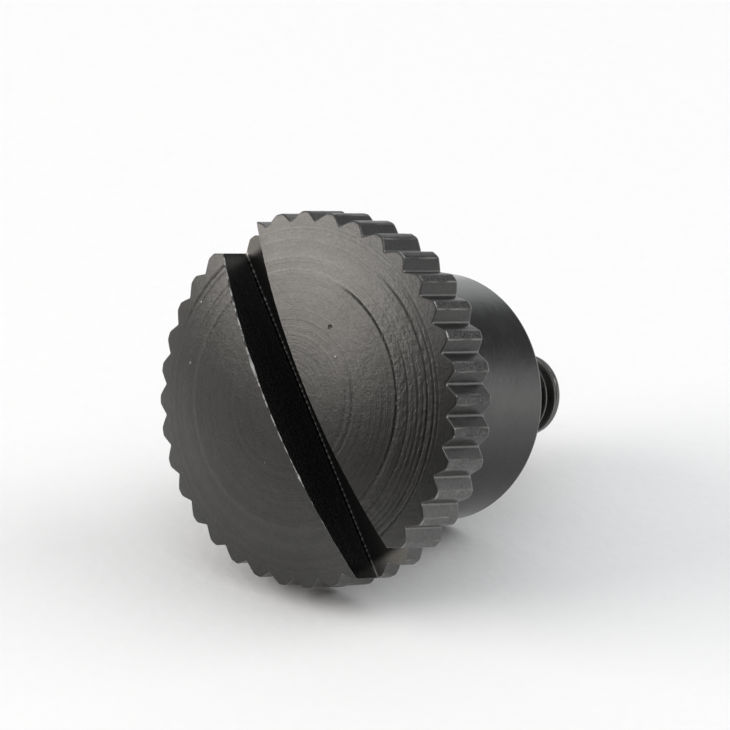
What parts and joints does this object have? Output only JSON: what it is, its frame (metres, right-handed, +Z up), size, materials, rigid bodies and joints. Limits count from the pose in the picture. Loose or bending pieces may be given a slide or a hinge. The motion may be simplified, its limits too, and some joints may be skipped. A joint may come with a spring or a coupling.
{
  "type": "knurled thumb screw",
  "caption": "Thumb screw with a knurled, crowned head cut across by a wide driver slot, a plain round shoulder and a short threaded stud.",
  "frame": {"origin": "on the table, under the middle of the screw's bounding box", "axes": "+Y along the table from the head to the stud, +X to the right of someone who faces the head's crown, +Z up"},
  "size_m": [0.018, 0.0206, 0.0178],
  "materials": {
    "black_steel": "black oxide, satin, with turning marks"
  },
  "bodies": {
    "root": {"thumb_screw": "black_steel"}
  },
  "joints": []
}
